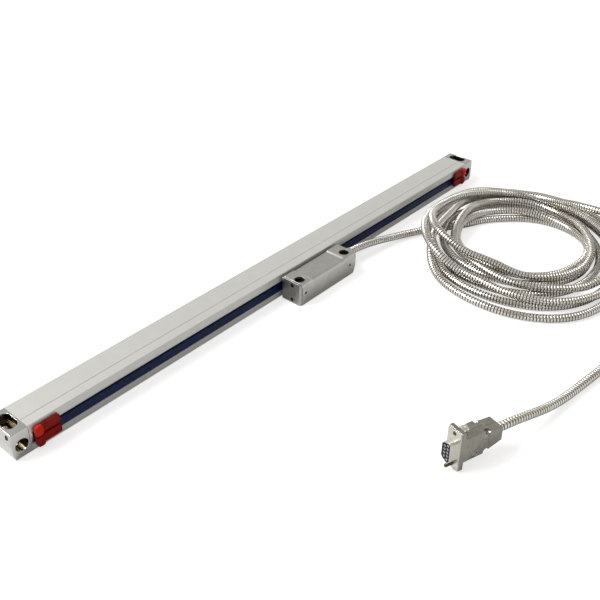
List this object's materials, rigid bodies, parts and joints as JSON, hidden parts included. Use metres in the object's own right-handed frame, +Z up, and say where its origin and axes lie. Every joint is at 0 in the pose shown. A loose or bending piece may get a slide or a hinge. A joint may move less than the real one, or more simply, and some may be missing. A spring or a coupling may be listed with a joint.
{
  "type": "linear glass scale",
  "caption": "Enclosed linear glass scale with lip seals and a scanning head on an armoured cable that lies coiled and ends in a nine-way D plug.",
  "frame": {"origin": "middle of the underside of the scale and head together, on the plane they rest on", "axes": "+X along the scale towards the cable end, +Y from the reading head to the housing's back, +Z up"},
  "size_m": [0.5846, 0.287, 0.0323],
  "materials": {
    "anodised": "satin",
    "glass": "polished",
    "bond": "matt",
    "lips": "matt",
    "plated": "polished",
    "gasket": "matt",
    "screws": "plain",
    "clips": "gloss",
    "head": "satin plated",
    "end_plate": "satin",
    "boards": "lacquered",
    "spring_steel": "bright",
    "carriage": "black anodised",
    "bearings": "ground",
    "lamp": "clear",
    "ribbon": "satin",
    "gland": "plated",
    "cable": "bright steel wound strip",
    "plug_metal": "tinned",
    "insert": "matt",
    "contacts": "plated",
    "hood": "die cast"
  },
  "bodies": {
    "head_unit": {"index_grating": "glass", "end_plate_gasket": "gasket", "gland_seal": "gasket", "end_plate_screws": "screws", "head_grub_screws": "screws", "coupling_arm_screws": "screws", "hood_screws": "screws", "head_body": "head", "head_end_plate": "end_plate", "signal_board": "boards", "lamp_board": "boards", "detector_board": "boards", "coupling_arm": "spring_steel", "coupling_rod": "spring_steel", "carriage": "carriage", "roller_pins": "bearings", "lamp": "lamp", "flex_ribbon": "ribbon", "cable_gland": "gland", "cable_lead": "cable", "cable_coil": "cable", "cable_tail": "cable", "plug_shell": "plug_metal", "plug_insert": "insert", "plug_contacts": "contacts", "hood_near_half": "hood", "hood_far_half": "hood", "cable_clamp": "hood"},
    "scale_unit": {"housing": "anodised", "glass_scale": "glass", "glass_bond_strips": "bond", "upper_lip_seal": "lips", "lower_lip_seal": "lips", "left_end_block": "plated", "right_end_block": "plated", "left_end_gasket": "gasket", "right_end_gasket": "gasket", "left_end_screws": "screws", "right_end_screws": "screws", "left_lip_clip": "clips", "right_lip_clip": "clips"},
    "face_roller_left": {"face_roller_left": "bearings"},
    "face_roller_right": {"face_roller_right": "bearings"},
    "face_roller_inner": {"face_roller_inner": "bearings"},
    "edge_roller_left": {"edge_roller_left": "bearings"},
    "edge_roller_right": {"edge_roller_right": "bearings"},
    "upper_jackscrew": {"upper_jackscrew": "plug_metal"},
    "lower_jackscrew": {"lower_jackscrew": "plug_metal"}
  },
  "joints": [
    {"name": "scale_travel", "type": "slide", "parent": "head_unit", "child": "scale_unit", "axis": [1, 0, 0], "range_m": [-0.197, 0.223]},
    {"name": "face_roller_left_spin", "type": "hinge", "parent": "head_unit", "child": "face_roller_left", "pos_m": [-0.004, 0.0178, 0.015], "axis": [0, 1, 0], "continuous": true},
    {"name": "face_roller_right_spin", "type": "hinge", "parent": "head_unit", "child": "face_roller_right", "pos_m": [0.03, 0.0178, 0.015], "axis": [0, 1, 0], "continuous": true},
    {"name": "face_roller_inner_spin", "type": "hinge", "parent": "head_unit", "child": "face_roller_inner", "pos_m": [0.0245, 0.0119, 0.015], "axis": [0, 1, 0], "continuous": true},
    {"name": "edge_roller_left_spin", "type": "hinge", "parent": "head_unit", "child": "edge_roller_left", "pos_m": [-0.004, 0.00745, 0.01125], "axis": [0, 0, 1], "continuous": true},
    {"name": "edge_roller_right_spin", "type": "hinge", "parent": "head_unit", "child": "edge_roller_right", "pos_m": [0.03, 0.00745, 0.01125], "axis": [0, 0, 1], "continuous": true},
    {"name": "upper_jackscrew_turn", "type": "hinge", "parent": "head_unit", "child": "upper_jackscrew", "pos_m": [-0.09523, -0.21949, 0.02896], "axis": [-0.9557, 0.2922, 0.0349], "continuous": true},
    {"name": "lower_jackscrew_turn", "type": "hinge", "parent": "head_unit", "child": "lower_jackscrew", "pos_m": [-0.09657, -0.22091, 0.00404], "axis": [-0.9557, 0.2922, 0.0349], "continuous": true}
  ],
  "couplings": [
    {"joint": "face_roller_left_spin", "follows": "scale_travel", "rad_per_m": -400},
    {"joint": "face_roller_right_spin", "follows": "scale_travel", "rad_per_m": -400},
    {"joint": "face_roller_inner_spin", "follows": "scale_travel", "rad_per_m": -400},
    {"joint": "edge_roller_left_spin", "follows": "scale_travel", "rad_per_m": -400},
    {"joint": "edge_roller_right_spin", "follows": "scale_travel", "rad_per_m": -400}
  ]
}
